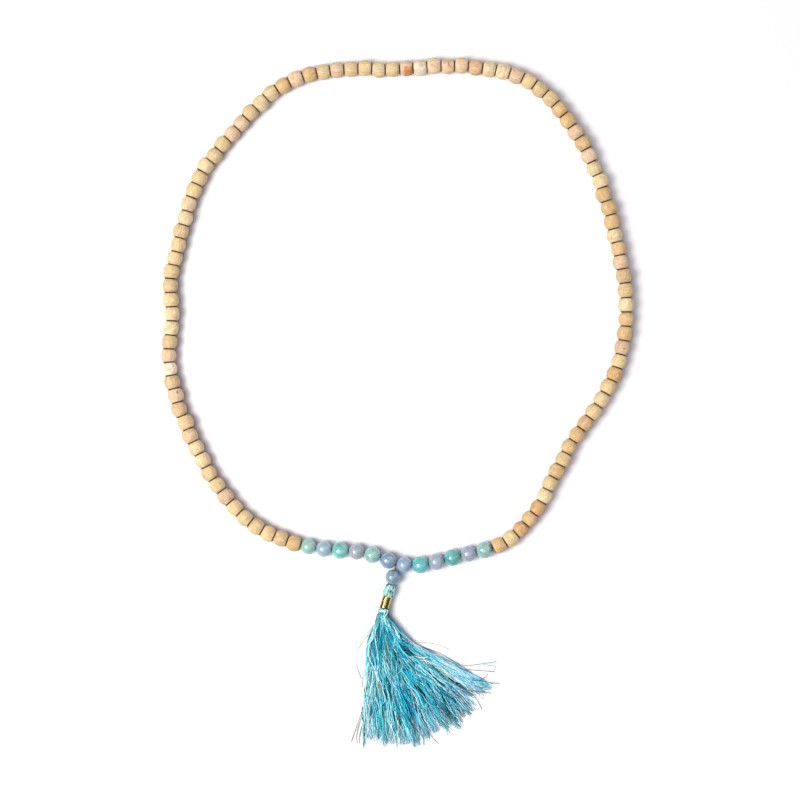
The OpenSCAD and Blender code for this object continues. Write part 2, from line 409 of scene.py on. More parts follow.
def meeting(bead, ahead):
    # the turn from a bead's hole to the next one's, and how far each end has to reach
    between = (ahead["centre"] - bead["centre"]).length
    if between > wood["nearest"]:
        return 0, wood["apart"]         # a stone lies between them
    gap = between - (bead["length"] + ahead["length"]) / 2
    return math.asin(bead["axis"].cross(ahead["axis"]).z), max(gap / 2 - wood["apart"], 0)


def workWood(bm, number, colour, flecks, grainTurn, shift):
    # fits a bead's ends to its neighbours, and wears and marks its surface
    bead = loopBeads[number - 1]
    half = bead["length"] / 2
    bendAhead, reachAhead = meeting(bead, loopBeads[number % len(loopBeads)])
    bendBehind, reachBehind = meeting(loopBeads[number - 2], bead)
    fibreLayer = bm.verts.layers.float_vector.new("fibre")
    toneLayer = bm.verts.layers.float_color.new("tone")
    halvesLayer = bm.verts.layers.float.new("halves")
    endLayer = bm.verts.layers.float.new("fromEnd")
    markLayer = bm.verts.layers.float_vector.new("mark")
    for vert in bm.verts:
        place = vert.co.copy()
        vert[fibreLayer] = grainTurn @ place + shift
        vert[toneLayer] = (*colour, flecks)
        vert[endLayer] = abs(place.x) - half
        vert[halvesLayer] = -wood["unmarked"]
        vert[markLayer] = [wood["unmarked"]] * 3
        if number == wood["twoToned"]:
            vert[halvesLayer] = min(offset + along * place.x + across * place.y
                                    for offset, along, across in wood["halves"])
        elif number in woodMarks:
            x, turn, long, wide = woodMarks[number]
            turn = math.radians(turn)
            y, z = wood["radius"] * math.sin(turn), wood["radius"] * math.cos(turn)
            vert[markLayer] = ((place.x - x) / long, (place.y - y) / wide, (place.z - z) / wide)
        # each end lies square to its neighbour's, so that no wedge opens between them
        if place.x > 0:
            stretch = reachAhead - bendAhead / 2 * place.y
        else:
            stretch = bendBehind / 2 * place.y - reachBehind
        vert.co.x += stretch * (place.x / half) ** 2
        out = math.hypot(place.y, place.z)
        lump = noise.noise(place / wood["wobbleSize"] + shift) * wood["wobble"]
        edge = smooth((abs(place.x) - half) / wood["chipReach"] + 1) * (out > wood["chipFrom"])
        rough = noise.noise(place / wood["chipSize"] - shift) - wood["chipRarity"]
        chip = max(0, rough) * edge * wood["chip"]
        if out > wood["wobbleFrom"]:
            vert.co.y *= 1 + (lump - chip) / out
            vert.co.z *= 1 + (lump - chip) / out


woodDraw = random.Random(wood["seed"])
woodMeshes = {node: bmesh.new() for node in woodNodes}
for number, bead in enumerate(loopBeads, 1):
    right = bead["node"] == "wood_beads_right"
    toneName = woodDraw.choices(list(woodShares), [shares[right] for shares in woodShares.values()])[0]
    flecks = woodDraw.random() ** 3
    for markedTone, markedBeads in woodMarked.items():
        if number in markedBeads:
            toneName, flecks = markedTone, markedBeads[number]
    shift = Vector([woodDraw.uniform(-wood["grainRoom"], wood["grainRoom"]) for _ in range(3)])
    grainAngle = math.pi / 2 if woodDraw.random() < wood["crossGrain"] else 0
    brighter = woodDraw.uniform(*wood["brightness"])
    grainAngle += math.radians(woodDraw.uniform(-wood["lean"], wood["lean"]))
    grainTurn = Matrix.Rotation(grainAngle, 3, "Z") @ Matrix.Rotation(shift.x, 3, "X")
    colour = [c * brighter for c in rgb(woodTones[toneName])[:3]]
    bm = drilledBead(bead["length"], bead["width"], bead["sideRadius"], wood)
    workWood(bm, number, colour, flecks, grainTurn, shift)
    layBead(bead, bm)
    addTo(woodMeshes[bead["node"]], bm)
for node, slotName in woodNodes.items():
    mesh = bpy.data.meshes.new(node)
    woodMeshes[node].to_mesh(mesh)
    woodMeshes[node].free()
    addPiece(node.replace("wood_beads", "turned_wood"), mesh, woodLook, [node], 38)
print("wood beads:", len(loopBeads))

# Stone beads
stone = {
    "sides": 32, "arcSteps": 12, "bore": 1.8, "rim": 0.3,
    "closer": 0.45, "flatter": 0.5,     # longer than the CAD bead, but at least this much under its width
    "lump": 0.1, "lumpSize": 5, "lumpFrom": 1.2, "lumpEase": 1.5,
}
# body colour, cloudy colour, deep colour and share of deep patches, for stone beads 1 to 12 and the guru bead
stoneTones = [
    ("8BB9AA", "9FBDC2", "72AE93", 0.35), ("8DA9B9", "A5BCC6", "7E96AF", 0.3),
    ("65B4AB", "97CBC7", "399085", 0.55), ("939FAC", "A9B1B9", "7C9F97", 0.35),
    ("8CB9AE", "A8C8C8", "438D7A", 0.5), ("748EA9", "8DB0BD", "617695", 0.45),
    ("8099B6", "96B1C3", "6882A6", 0.4), ("4AABAC", "7CC4C6", "2A8A8E", 0.45),
    ("8B9CAB", "A2B2BB", "778A9F", 0.35), ("449B98", "75BBB3", "257774", 0.6),
    ("8E9CAD", "A4B0BA", "7688A2", 0.3), ("80ADA7", "A2BFBC", "529488", 0.45),
    ("708A9C", "8CA6AE", "587589", 0.5),
]
stoneNodes = [f"stone_bead_{n:02d}" for n in range(1, 13)] + ["guru_bead"]


def stoneLook(name, body, cloud, deep, deepShare):
    look = Look(name)
    place = look.objectPlace()
    clouds = look.noise(place, 330, 4, 0.55, 1.2)
    patches = look.noise(look.stretched(place, (1.0, 1.3, 1.0)), 190, 3, 0.6, 0.8)
    grains = look.noise(place, 2600, 2, 0.6)
    veins = look.noise(place, 260, 3, 0.6, 2.2)
    colour = look.mix(0.8 * clouds.rise(0.38, 0.7), rgb(body), rgb(cloud))
    colour = look.mix(0.55 * patches.rise(0.62 - 0.2 * deepShare, 0.86 - 0.2 * deepShare), colour, rgb(deep))
    thin = 1 - (veins - 0.5).size().rise(0.004, 0.022)
    colour = look.mix(0.2 * thin, colour, rgb("E6F0EE"))      # hair-thin pale veins
    colour = look.shade(colour, 0.86 + 0.12 * grains)
    return look.finish(colour, 0.07 + 0.06 * grains, look.bump(clouds, 0.03, 0.15), IOR=1.53, Coat_Weight=0.4,
                       Coat_Roughness=0.03, Subsurface_Weight=0.18, Subsurface_Scale=0.0015)


stoneBeads = []
for node, tones in zip(stoneNodes, stoneTones):
    bead = readBeads(node)[0]
    stoneBeads.append(bead)
    length = min(bead["length"] + stone["closer"], bead["width"] - stone["flatter"])
    bm = drilledBead(length, bead["width"], bead["width"] / 2, stone)
    for vert in bm.verts:
        out = math.hypot(vert.co.y, vert.co.z)
        lump = noise.noise((vert.co + bead["centre"]) / stone["lumpSize"]) * stone["lump"]
        lump *= smooth((out - stone["lumpFrom"]) / stone["lumpEase"])
        vert.co.y *= 1 + lump / out
        vert.co.z *= 1 + lump / out
    layBead(bead, bm)
    mesh = bpy.data.meshes.new(node)
    bm.to_mesh(mesh)
    bm.free()
    name = node.replace("stone_bead", "polished_stone").replace("guru_bead", "guru_stone")
    addPiece(name, mesh, stoneLook(name, *tones), [node], 38)
print("stone beads:", len(stoneBeads))


def roundThreads(name, lines, radii, tones, sides=6):
    # closed round threads along lists of points; "lay" holds the turn round the thread and the run along it
    curve = bpy.data.curves.new(name, "CURVE")
    curve.dimensions = "3D"
    curve.bevel_depth = mm
    curve.bevel_resolution = (sides - 4) // 2
    curve.twist_mode = "Z_UP"
    for points, radius in zip(lines, radii):
        spline = curve.splines.new("POLY")
        spline.points.add(len(points) - 1)
        spline.points.foreach_set("co", np.c_[points * mm, np.ones(len(points))].ravel())
        spline.points.foreach_set("radius", np.broadcast_to(radius, len(points)).copy())
    tube = link(bpy.data.objects.new(name, curve))
    mesh = bpy.data.meshes.new_from_object(tube.evaluated_get(bpy.context.evaluated_depsgraph_get()))
    bpy.data.objects.remove(tube)
    around = math.tau * np.arange(sides) / sides
    ring = np.c_[np.cos(around), np.sin(around)]
    lay, colours = [], []
    for points, tone in zip(lines, tones):
        run = np.r_[0, np.cumsum(np.linalg.norm(np.diff(points, axis=0), axis=1))]
        lay.append(np.c_[np.tile(ring, (len(run), 1)), np.repeat(run, sides)])
        colours.append(np.repeat(np.broadcast_to(tone, (len(run), 4)), sides, axis=0))
    for key, kind, field, rows in (("lay", "VECTOR", "vector", lay), ("tone", "COLOR", "color", colours)):
        layer = mesh.attributes.new(key, "FLOAT_" + kind, "POINT")
        layer.data.foreach_set(field, np.concatenate(rows).ravel())
    bm = bmesh.new()
    bm.from_mesh(mesh)
    bmesh.ops.holes_fill(bm, edges=[e for e in bm.edges if e.is_boundary], sides=sides)
    bm.to_mesh(mesh)
    bm.free()
    return mesh


def threadLook(name, pitch, gloss, dark=0.62, glint=0.0, metallic=0.0, sheen=0.35):
    # twisted thread; the twist's valleys are painted darker, as painted shade, and dark is how light they
    # are; glint is how much of it is painted with pale glints, a painted highlight
    look = Look(name)
    lay = look.read("lay")
    tone = look.read("tone", "Color")
    own = look.read("tone", "Alpha")
    run = look.part(lay, "Z")
    turn = run * (math.tau / pitch)
    twist = 0.5 + 0.5 * (look.part(lay, "X") * turn.sine() + look.part(lay, "Y") * turn.cosine())
    drift = look.noise(look.vector(run * 0.22, own * 300, 0.0), 1.0, 3, 0.6)
    flecks = look.noise(look.vector(run * 1.3, own * 500, 0.0), 1.0, 1, 0.5)
    # painted shade: the twist's valleys are darker
    colour = look.shade(tone, dark + (1.25 - dark) * (0.55 * twist + 0.45 * drift.rise(0.3, 0.7)))
    # painted highlight: pale glints scattered in flecks along the thread
    if glint:
        colour = look.mix(glint * flecks.rise(0.56, 0.7), colour, rgb("EAFBFD"))
    return look.finish(colour, gloss + 0.15 * twist, look.bump(twist, 0.06, 0.7), Metallic=metallic,
                       Specular_IOR_Level=sheen)


# Stringing thread, through the middle of every bead and down through the guru bead
cord = {
    "width": 0.6, "sides": 8, "height": 4.0, "colour": "6B4425", "pitch": 1.6, "step": 1.5,
    "junction": (-1.5, -80.5), "apart": 0.35,       # where the ends leave the loop, one above the other
    "guru": (-3.7, 4.4),        # from above the guru bead into the head, along the tassel's axis
}
loop = stoneBeads[5::-1] + loopBeads + stoneBeads[11:5:-1]
for bead in loop:
    faceClockwise(bead)


# Tassel: its axis leans from the guru bead
tassel = {"guru": (-3, -87.2), "lean": 16, "height": 3, "band": (10.1, 16.1), "skirtStart": 18.6}


def onTassel(distance, across=0.0, up=0.0):
    # a place by its distance along the tassel's axis, across it and above it
    sine, cosine = math.sin(math.radians(tassel["lean"])), math.cos(math.radians(tassel["lean"]))
    x, y = tassel["guru"]
    return np.array([x - sine * distance + cosine * across, y - cosine * distance - sine * across,
                     tassel["height"] + up])


marks = [(*cord["junction"], cord["height"])]
for bead, after in zip(loop, loop[1:]):
    end = bead["centre"] + bead["axis"] * bead["length"] / 2
    start = after["centre"] - after["axis"] * after["length"] / 2
    marks.append(((end.x + start.x) / 2, (end.y + start.y) / 2, cord["height"]))
marks = np.array(marks)
rise = cord["height"] - tassel["height"]
lift = np.array([0, 0, cord["apart"]])
guru = np.array([onTassel(distance, 0, rise) for distance in cord["guru"]])
corners = np.concatenate([guru[::-1] + lift, marks[:1] + lift, marks[1:], marks[:1] - lift, guru - lift])
stations = np.r_[0, np.cumsum(np.linalg.norm(np.diff(corners, axis=0), axis=1))]
runs = np.linspace(0, stations[-1], int(stations[-1] / cord["step"]))
cordLine = np.stack([np.interp(runs, stations, corners[:, k]) for k in range(3)], axis=1)
cordTone = rgb(cord["colour"])[:3] + [0.3]
cordMesh = roundThreads("cord", [cordLine], [cord["width"] / 2], [cordTone], cord["sides"])
cordLook = threadLook("twisted_cotton", cord["pitch"], 0.75, 0.5)
addPiece("stringing_thread", cordMesh, cordLook, ["thread"])
print("thread:", round(stations[-1]), "mm")

# Head: loops of thread over a dark core
head = {
    "threads": 24, "width": 0.66, "seed": 7, "steps": 16, "from": 3.95, "to": 10.6,
    "scatter": 0.35, "swirl": 24, "uneven": (-0.12, 0.1),
    "slit": 0.11, "core": 0.28,     # half a slit's share of the length, and how deep the core lies
    "outline": [(0, 1.1), (0.06, 2.0), (0.2, 2.6), (0.5, 2.68), (0.82, 2.5), (1, 2.0)],
}
headDraw = random.Random(head["seed"])
headTones = {"C6E8E6": 5, "98CCCC": 3, "6EAEB0": 2}
# threads that are darker in a short slit, painted shade in the openings between the loops: thread, place
# along the head, colour
headShadedSlits = {
    2: (0.8, "3C8088"), 3: (0.55, "0A343C"), 4: (0.15, "2E767C"), 5: (0.48, "0A343C"), 7: (0.45, "8CC0C2"),
    8: (0.95, "2A6A70"), 9: (0.05, "3C8A8E"), 10: (0.05, "3C8A8E"),
}
span = head["to"] - head["from"]
headPatch = {"from": 0.5, "over": 0.3, "across": -0.1, "wide": 0.35, "colour": "8CB878", "strength": 0.8}


def headThread(number):
    # one thread of the head, and its colours
    code = headDraw.choices(list(headTones), list(headTones.values()))[0]
    turn = math.tau * (number + headDraw.uniform(-head["scatter"], head["scatter"])) / head["threads"]
    swirl = math.radians(head["swirl"] * headDraw.uniform(0.2, 1))
    out = headDraw.uniform(*head["uneven"])
    run = np.linspace(0, 1, head["steps"])
    points = []
    for share in run:
        radius = table(head["outline"], share) + out * math.sin(math.pi * share)
        angle = turn + swirl * (share - 0.5)
        across, up = radius * math.cos(angle), radius * math.sin(angle)
        points.append(onTassel(head["from"] + span * share, across, up))
    points = np.array(points)
    points[:, 2] = np.maximum(points[:, 2], head["width"] / 2)
    colours = np.tile(rgb(code)[:3], (len(run), 1))
    # painted shade: a thread darkens along a short slit between the loops
    if number in headShadedSlits:
        along, dark = headShadedSlits[number]
        colours = tinted(colours, dark, smooth(1.5 - abs(run - along) / head["slit"]))
    offPatch = abs(math.cos(turn) - headPatch["across"]) / headPatch["wide"]
    patch = smooth((run - headPatch["from"]) / headPatch["over"]) * smooth(1.4 - offPatch)
    patch = patch * (math.sin(turn) > 0)
    colours = tinted(colours, headPatch["colour"], patch * headPatch["strength"])
    return points, np.c_[colours, np.full(len(run), headDraw.random())]


headLines, headColours = zip(*[headThread(number) for number in range(head["threads"])])
headMesh = roundThreads("head", headLines, [head["width"] / 2] * head["threads"], headColours)
addPiece("tassel_head", headMesh, threadLook("head_thread", 1.1, 0.4), ["tassel"])


def spunOnTassel(outline, sides):
    # a closed shape spun round the tassel's axis from (distance, radius) rows
    bm = bmesh.new()
    verts = [bm.verts.new((0, -distance, radius)) for distance, radius in outline]
    edges = [bm.edges.new(pair) for pair in zip(verts, verts[1:])]
    bmesh.ops.spin(bm, geom=verts + edges, cent=(0, 0, 0), axis=(0, 1, 0), angle=math.tau, steps=sides,
                   use_merge=True)
    bmesh.ops.remove_doubles(bm, verts=bm.verts, dist=1e-4)
    bmesh.ops.recalc_face_normals(bm, faces=bm.faces)
    turn = Matrix.Rotation(-math.radians(tassel["lean"]), 4, "Z")
    place = Matrix.Translation((*tassel["guru"], tassel["height"]))
    bmesh.ops.transform(bm, matrix=Matrix.Scale(mm, 4) @ place @ turn, verts=bm.verts)
    mesh = bpy.data.meshes.new("spun")
    bm.to_mesh(mesh)
    bm.free()
    return mesh


core = [(head["from"] + span * t, max(radius - head["core"], 0)) for t, radius in head["outline"]]
core = [(head["from"] + 0.1, 0)] + core + [(head["to"], 0)]
coreLook = Look("packed_thread")
coreFibres = coreLook.noise(coreLook.stretched(coreLook.objectPlace(), (3.0, 0.8, 3.0)), 900, 3, 0.6)
coreColour = coreLook.mix(coreFibres.rise(0.35, 0.65), rgb("0B3C48"), rgb("2A8393"))
coreLook.finish(coreColour, 0.7, coreLook.bump(coreFibres, 0.1, 0.8))
addPiece("head_core", spunOnTassel(core, 24), coreLook, ["tassel"])

# Band: gold thread wound round the neck, over a thin sleeve, with a few pale turns under it
band = {
    "turns": 22, "width": 0.3, "radius": 2.34, "steps": 48, "seed": 5, "uneven": 0.03, "colour": "E0B04A",
    "sleeve": (1.9, 2.44), "inset": 0.05,       # the sleeve's radii, and how much shorter it is
}
# painted reflections: dark streaks along the band, standing for the dark room mirrored in the gold: degrees
# round it at its upper and lower end, half width in degrees
bandDarkReflections = [(122, 138, 9), (62, 66, 13)]
bandDraw = random.Random(band["seed"])


def winding(start, end, turns, radius, steps, slope=0.0):
    # turns of one thread round the neck; a slope makes them lie askew
    count = int(turns * steps)
    wander = [bandDraw.uniform(-1, 1) for _ in range(int(turns) + 2)]
    points = []
    for k in range(count + 1):
        share = k / count
        angle = math.tau * k / steps
        uneven = band["uneven"] * np.interp(share * turns, range(len(wander)), wander)
        out = radius + uneven
        along = start + (end - start) * share + uneven + slope * math.cos(angle)
        points.append(onTassel(along, out * math.cos(angle), out * math.sin(angle)))
    return np.array(points)


halfGold = band["width"] / 2
top, bottom = tassel["band"]
goldLine = winding(top + halfGold, bottom - halfGold, band["turns"], band["radius"], band["steps"])
goldTurns = 360 * np.arange(len(goldLine)) / band["steps"] % 360
goldShare = np.linspace(0, 1, len(goldLine))
goldDarkReflection = np.zeros(len(goldLine))
for upperEnd, lowerEnd, half in bandDarkReflections:
    offReflection = np.abs(goldTurns - upperEnd - (lowerEnd - upperEnd) * goldShare) / half
    goldDarkReflection = np.maximum(goldDarkReflection, smooth(1.6 - offReflection))
goldTones = np.c_[np.tile(rgb(band["colour"])[:3], (len(goldLine), 1)), goldDarkReflection]
goldMesh = roundThreads("gold", [goldLine], [halfGold], [goldTones])
goldLook = Look("gold_thread")
goldRun = goldLook.part(goldLook.read("lay"), "Z")
goldTwist = 0.5 + 0.5 * (goldRun * (math.tau / 0.35)).sine()
goldWear = goldLook.noise(goldLook.objectPlace(), 900, 3, 0.6)
goldColour = goldLook.mix(goldWear.rise(0.35, 0.7), rgb("D2BA6C"), rgb("F0E8B4"))
# painted reflection: the dark streaks darken the gold
goldColour = goldLook.mix(0.9 * goldLook.read("tone", "Alpha"), goldColour, rgb("4C360A"))
goldLook.finish(goldColour, 0.05 + 0.06 * goldTwist, goldLook.bump(goldTwist, 0.012, 0.3), Metallic=1.0)
addPiece("gold_winding", goldMesh, goldLook, ["tassel_band"])
inside, outside = band["sleeve"]
near, far = top + band["inset"], bottom - band["inset"]
sleeve = [(near, inside), (near, outside), (far, outside), (far, inside), (near, inside)]
addPiece("gold_sleeve", spunOnTassel(sleeve, 32), goldLook, ["tassel_band"])
tie = {"from": 16.95, "to": 18.05, "turns": 3, "steps": 20, "radius": 2.62, "thread": 0.3, "slope": -0.75,
       "pale": "D0F2F3", "dark": "2E8A92"}
tieLine = winding(tie["from"], tie["to"], tie["turns"], tie["radius"], tie["steps"], tie["slope"])
# painted shade: the tie is darker at its right side, away from the light
tieShade = smooth(np.cos(math.tau * np.arange(len(tieLine)) / tie["steps"]) / 0.7 - 0.1)
tieTones = tinted(np.tile(rgb(tie["pale"])[:3], (len(tieLine), 1)), tie["dark"], tieShade)
tieMesh = roundThreads("tie", [tieLine], [tie["thread"]], [np.c_[tieTones, np.full(len(tieLine), 0.8)]])
addPiece("neck_tie", tieMesh, threadLook("pale_thread", 1.0, 0.4), ["tassel"])
print("head and band are wound")

# Skirt: tufts of thread that follow the fan of the CAD locks. In its tables u goes from 0 at the fan's left
# line to 1 at its right one, and run is the distance along a thread from the skirt's top.
skirt = {
    "length": 67, "fan": (-9, 53),      # the fan's first and last direction, in degrees from straight down
    "bend": [(0, 14), (0.5, 9), (1, 19)],       # how far a line bends, by u
    "turn": [(0, -1), (0.2, -0.7), (0.35, 0.5), (1, 0.4)],      # share of that bend, along the line
    "reach": [(0, 0.99), (0.5, 1.01), (0.79, 1.02), (0.8, 0.86), (0.83, 0.86), (0.845, 1.02), (0.89, 0.93),
              (0.92, 1.01), (1, 0.98)],         # length of the threads, by u
    # the pile's upper and lower side and half its width, by run
    "upper": [(0, 4.9), (8, 5.4), (25, 4.4), (50, 2.8), (62, 1.9), (70, 1.0)],
    "lower": [(0, 1.1), (6, 0), (80, 0)],
    "halfWidth": [(0, 2.5), (8, 2.5), (30, 2.6), (52, 2.9), (64, 2.4), (70, 1.6)],
    # how far threads may lie outside the fan, by run
    "leftRoom": [(0, 2.6), (6, 2.9), (12, 2.4), (19, 1.7), (26, 1.5), (40, 2.6), (52, 2.8), (66, 2.2)],
    "rightRoom": [(0, 2.6), (6, 2.6), (13, 2), (23, 1.1), (44, 2.4), (52, 2.2), (60, 2.4), (66, 2.4)],
    "narrowing": 0.55, "darkCut": 5,        # the pile's top is narrower, and its low dark threads are shorter
    "twistRise": 0.65, "pack": 2.1,         # rise and fall in a twisted strand, and the neck's inner radius
    "tufts": 44, "points": 30, "seed": 31,
}
# openings between the upper threads: u at both ends, run at both ends, half the width
skirtGaps = [
    (0.64, 0.63, 7, 19, 1), (0.82, 0.77, 15, 30, 1.45), (0.51, 0.5, 19, 33, 1.3), (0.45, 0.48, 30, 41, 1.35),
    (0.55, 0.6, 37, 54, 1.2), (0.25, 0.25, 11, 22, 0.9), (0.35, 0.31, 28, 39, 0.6), (0.2, 0.2, 36, 47, 0.6),
    (0.7, 0.73, 22, 36, 0.9), (0.12, 0.14, 22, 32, 0.4), (0.88, 0.91, 24, 35, 0.4), (0.66, 0.68, 44, 56, 0.5),
    (0.3, 0.33, 48, 60, 0.35), (0.42, 0.4, 14, 23, 0.4), (0.78, 0.81, 42, 54, 0.3),
]
# piece: colours, strands, threads in each, width of a thread, mean height in the pile, how far they wander,
# chance by u, how light the painted shade in the twist's valleys is
skirtThreads = {
    "skirt_turquoise": ("009AB6 00B4CC 0090AA 006C84 00404E 14C6DA", 180, 3, 0.38, 0.58, 1.3,
                        [(0, 0.9), (0.35, 1.4), (0.6, 1.2), (1, 0.7)], 0.52),
    "skirt_cyan": ("00C6DE 2CDAEC 00BAD4 0096B0 80E6F2", 170, 2, 0.35, 0.7, 1.7,
                   [(0, 1), (0.4, 0.9), (1, 1.7)], 0.64),
    # painted shade in part: near-black teal threads lie low in the pile so that its depth reads dark; they
    # stand partly for real dark teal thread
    "skirt_teal": ("002C38 003C48 041C26 141E18 006478", 92, 4, 0.4, 0.33, 1.2,
                   [(0, 0.3), (0.14, 1.1), (0.5, 1.15), (0.84, 1.1), (1, 0.1)], 0.5),
    "skirt_pale": ("D6F8FA F2FFFF A2E8F0", 180, 1, 0.3, 0.84, 2.2,
                   [(0, 1.5), (0.3, 1), (0.6, 1.05), (1, 2)], 0.85),
    "skirt_lavender": ("90BAE4 AECAEC 80A6D8", 14, 2, 0.3, 0.66, 1.6, [(0, 0.3), (0.4, 1), (1, 1.8)], 0.7),
    "skirt_gold": ("8A8C64 A6A67C 5E6040", 30, 2, 0.3, 0.64, 1.8,
                   [(0, 1.5), (0.3, 0.9), (0.7, 1.2), (1, 1)], 0.5),
}
# share of painted pale glints, a painted highlight, for each skirt piece
skirtPaintedGlints = {"skirt_cyan": 0.3, "skirt_pale": 0.4, "skirt_turquoise": 0.1}
# places where upper threads take another colour: u, run, size in u, size along, colour, share of the strands
skirtPatches = [
    (0.0, 56, 0.035, 16, "CDEBF1", 0.7), (0.45, 57, 0.07, 8, "B8C8EE", 0.4),
    (0.9, 58, 0.1, 9, "A2D0EE", 0.45), (0.96, 36, 0.07, 24, "C0E2F4", 0.5),
    (0.4, 3, 0.9, 5, "0A8C90", 0.6), (0.45, 16, 0.35, 12, "0098B0", 0.6),
    (0.885, 38, 0.035, 9, "DCD6AA", 0.6), (0.06, 34, 0.02, 8, "B4B080", 0.3),
    (0.45, 44, 0.22, 16, "14C4E0", 0.4), (0.8, 30, 0.15, 14, "38D4EC", 0.4),
    (0.39, 46, 0.08, 9, "0080A4", 0.45), (0.7, 54, 0.08, 7, "007CA0", 0.5),
    (0.6, 66, 0.04, 6, "A49C68", 0.3),
]
skirtTop = onTassel(tassel["skirtStart"])
fineRun = np.linspace(0, 76, 153)


def fanLine(u):
    # one line of the fan, from the skirt's top
    mean = skirt["fan"][0] + (skirt["fan"][1] - skirt["fan"][0]) * u
    angle = np.radians(mean + table(skirt["bend"], u) * table(skirt["turn"], fineRun / skirt["length"]))
    step = fineRun[1]
    x = skirtTop[0] + np.r_[0, np.cumsum(np.sin(angle[:-1]) * step)]
    y = skirtTop[1] - np.r_[0, np.cumsum(np.cos(angle[:-1]) * step)]
    return np.stack([x, y], axis=1)


fanRows = np.linspace(-0.08, 1.08, 88)
fanGrid = np.array([fanLine(u) for u in fanRows])


def fanPlace(u, run):
    # place on the surface, for lists of u and run
    row = (np.clip(u, fanRows[0], fanRows[-1]) - fanRows[0]) / (fanRows[1] - fanRows[0])
    low = np.minimum(row.astype(int), len(fanRows) - 2)
    share = (row - low)[:, None]
    col = np.clip(run, 0, fineRun[-1] - 0.1) / fineRun[1]
    left = col.astype(int)
    part = (col - left)[:, None]
    below = fanGrid[low, left] * (1 - part) + fanGrid[low, left + 1] * part
    above = fanGrid[low + 1, left] * (1 - part) + fanGrid[low + 1, left + 1] * part
    return below * (1 - share) + above * share


def acrossLine(places):
    # directions across a line, at each of its places
    ahead = np.gradient(places, axis=0)
    ahead /= np.linalg.norm(ahead, axis=1)[:, None] + 1e-9
    return np.stack([-ahead[:, 1], ahead[:, 0]], axis=1)


draw = np.random.RandomState(skirt["seed"])
tufts = [{
    "u": -0.02 + 1.04 * (number + 0.5 + draw.uniform(-0.4, 0.4)) / skirt["tufts"],
    "side": draw.uniform(-0.7, 0.7),
    "half": draw.uniform(0.7, 1.3) / skirt["tufts"],
    "reach": draw.uniform(-2, 2.8),
    "lean": draw.normal(0, 0.014),
    "phase": draw.uniform(0, math.tau),
    "rolling": draw.uniform(4.5, 9),
} for number in range(skirt["tufts"])]


def drawStrand(tuft, threads, width, meanHigh, wander):
    # what the threads of one strand share
    return {
        "tuft": tuft, "wander": wander, "spread": 0.5 * math.sqrt(threads) * width,
        "off": np.clip(draw.normal(0, 0.75), -1.6, 1.6),
        "cut": (draw.exponential(1.8 + 2 * smooth((tuft["u"] - 0.7) / 0.15))
                + skirt["darkCut"] * (meanHigh < 0.4)),
        "splay": draw.normal(0, 0.8),
        "lean": tuft["lean"] + draw.normal(0, 0.008),
        "crossing": draw.normal(0, 0.09 * wander),
        "crossEnd": draw.uniform(0.35, 1),
        "high": np.clip(draw.normal(meanHigh, 0.22), 0.02, 1),
        "side": np.clip(tuft["side"] * 0.5 + draw.normal(0, 0.4), -1, 1),
        "slow": (draw.normal(0, 0.6) * wander, draw.uniform(3.5, 8), draw.uniform(0, math.tau)),
        "lift": (draw.uniform(3, 6), draw.uniform(0, math.tau)),
        "twist": draw.choice([-1, 1]) * draw.uniform(0.12, 0.3),
        "takes": draw.uniform(0, 1),
        "bright": draw.uniform(0.62, 1.32),
        "bridge": draw.choice([0.8, 2, 2, 2, 2]),       # strands that lie higher cross the openings
    }


def besideGaps(flat, run, across, high, bridge):
    # moves an upper thread clear of the openings, and finds the shade of a low one under them
    shade = np.zeros(len(run))
    for uStart, uEnd, start, end, half in skirtGaps:
        line = fanPlace(np.interp(run, (start, end), (uStart, uEnd)), np.maximum(run, 0.1))
        away = np.sum((flat - line) * across, axis=1)
        gape = smooth((run - start) / 5) * smooth((end - run) / 5)
        if high <= 0.3:
            shade = np.maximum(shade, gape * smooth(1.9 - np.abs(away) / half))
        elif high < bridge:
            sense = 1 if np.interp(start + 2, run, away) > 0 else -1        # to the side where it comes in
            push = half * draw.uniform(0.8, 1.3) - sense * away
            flat = flat + across * (gape * sense * np.maximum(push, 0))[:, None]
    return flat, shade


def insideFan(flat, run):
    # draws a thread back where it strays too far out of the fan
    for u, sense, spare in ((0.0, 1, "leftRoom"), (1.0, -1, "rightRoom")):
        edge = fanPlace(np.full(len(run), u), np.maximum(run, 0.1))
        outward = acrossLine(edge) * sense
        inwards = np.sum((flat - edge) * outward, axis=1)
        beyond = -inwards - table(skirt[spare], run) * draw.uniform(0.35, 1.15)
        flat = flat + outward * (draw.uniform(0.75, 1) * np.maximum(beyond, 0) * smooth(run / 4))[:, None]
    return flat


